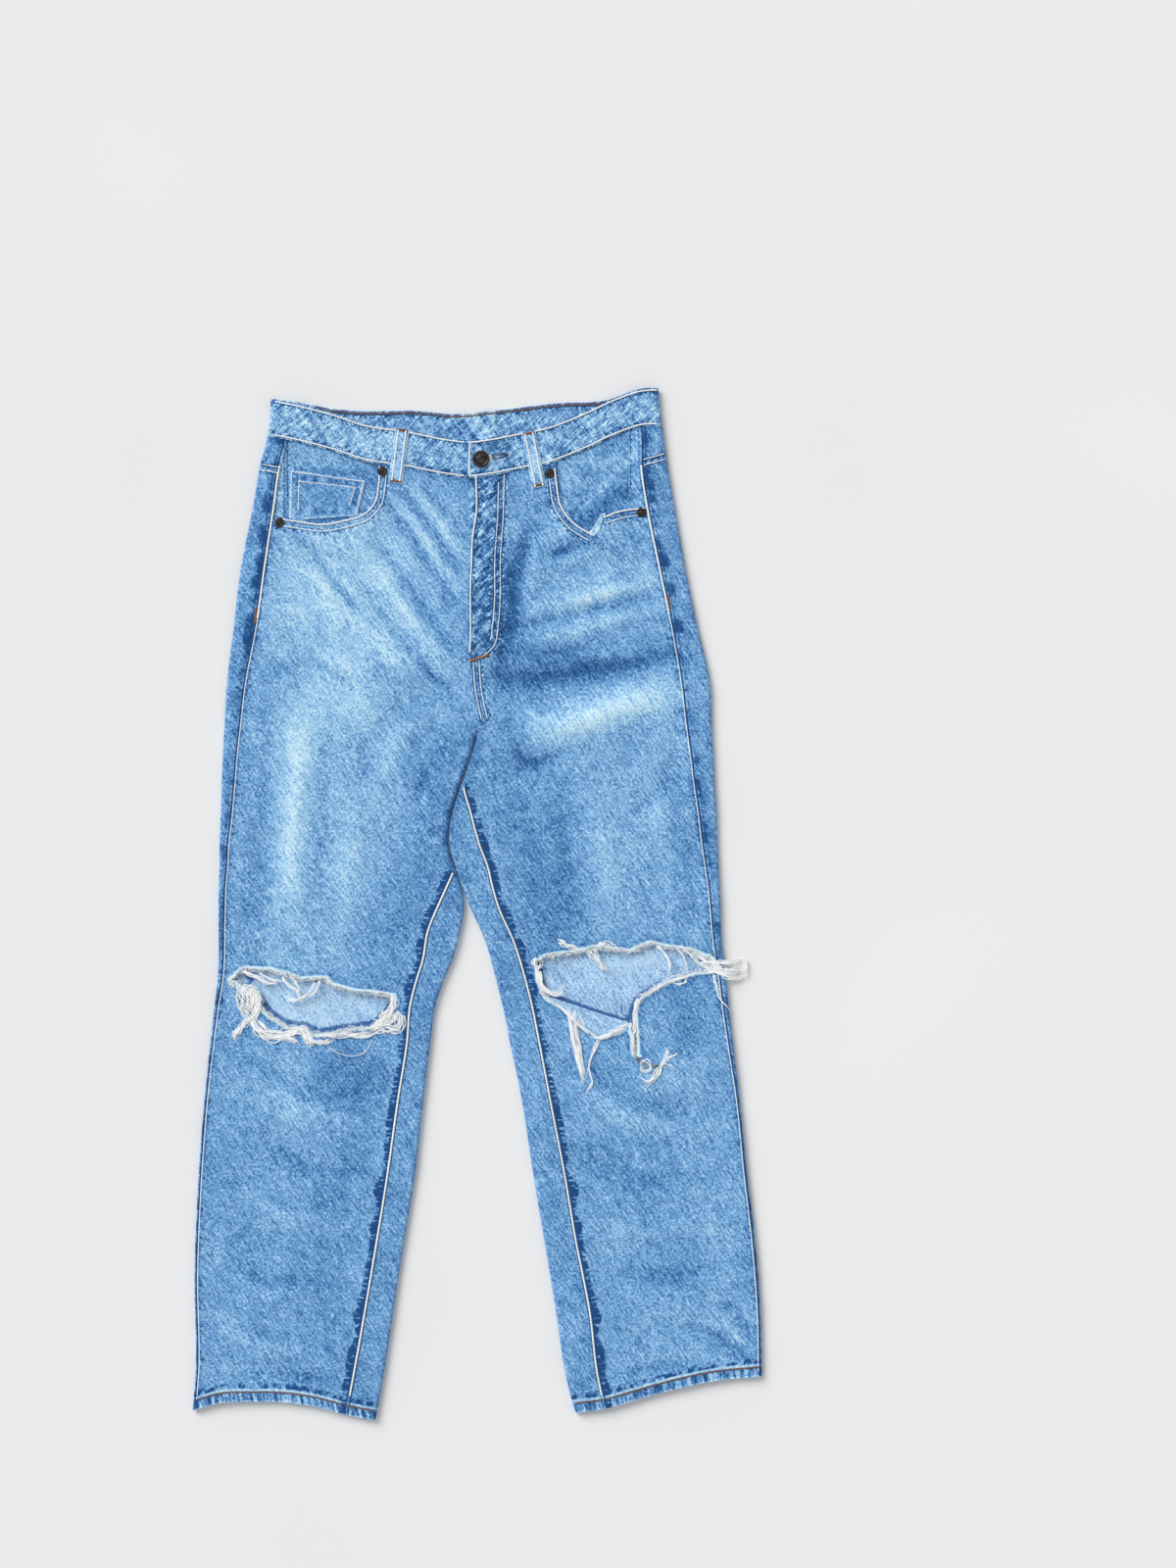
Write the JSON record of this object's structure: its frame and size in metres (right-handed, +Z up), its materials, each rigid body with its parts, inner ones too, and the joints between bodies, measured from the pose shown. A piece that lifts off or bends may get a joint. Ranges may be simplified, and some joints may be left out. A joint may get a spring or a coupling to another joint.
{
  "type": "ripped jeans laid flat",
  "caption": "Washed denim jeans laid flat, front up, with straight legs and a rip with loose threads at each knee.",
  "frame": {"origin": "centre of the garment's box, on the surface that it lies on", "axes": "+Y from the hems to the waist, +X to the wearer's left, +Z up, out of the front"},
  "size_m": [0.5656, 1.0254, 0.0132],
  "materials": {
    "denim": "washed light blue cotton twill with slubs, faded thighs and darker worn seams",
    "thread": "loose off-white cotton weft threads",
    "dark_metal": "dark antique metal, satin"
  },
  "bodies": {
    "root": {"front_right": "denim", "front_left": "denim", "back_right": "denim", "back_left": "denim", "yoke_right": "denim", "yoke_left": "denim", "waistband": "denim", "belt_loop_front_right": "denim", "belt_loop_front_left": "denim", "belt_loop_back_right": "denim", "belt_loop_back_centre": "denim", "belt_loop_back_left": "denim", "pocket_facing_right": "denim", "pocket_facing_left": "denim", "coin_pocket": "denim", "back_pocket_right": "denim", "back_pocket_left": "denim", "waist_button": "dark_metal", "rivet_right_inner": "dark_metal", "rivet_right_outer": "dark_metal", "rivet_left_inner": "dark_metal", "rivet_left_outer": "dark_metal", "fray_right": "thread", "fray_left": "thread", "fray_side": "thread"}
  },
  "joints": []
}
